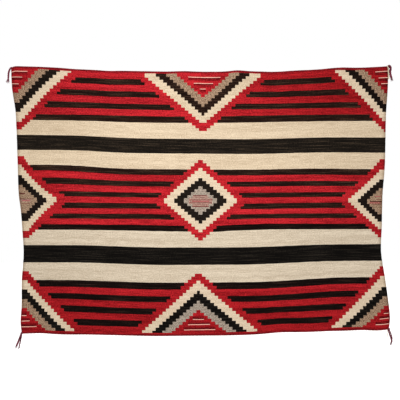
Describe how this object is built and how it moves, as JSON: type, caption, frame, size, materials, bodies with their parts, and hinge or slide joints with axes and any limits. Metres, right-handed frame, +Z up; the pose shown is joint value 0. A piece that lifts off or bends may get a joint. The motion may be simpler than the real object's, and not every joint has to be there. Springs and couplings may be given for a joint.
{
  "type": "navajo chief blanket",
  "caption": "Hand-woven wool wearing blanket, wider than tall, striped with stepped diamonds, hung flat by its top edge, with edge cords and corner tassels.",
  "frame": {"origin": "middle of the web's top edge, where the blanket is hung", "axes": "+X to the right seen from the front, along the wefts; +Z up, along the warps; the face looks towards -Y"},
  "size_m": [1.8723, 0.0295, 1.3703],
  "materials": {
    "wool_web": "matte handspun wool, weft-faced tapestry weave",
    "plied_cord": "matte two-ply wool cord"
  },
  "bodies": {
    "root": {"blanket_web": "wool_web", "top_edge_cord": "plied_cord", "bottom_edge_cord": "plied_cord", "tassel_top_left": "plied_cord", "tassel_top_right": "plied_cord", "tassel_bottom_left": "plied_cord", "tassel_bottom_right": "plied_cord"}
  },
  "joints": []
}
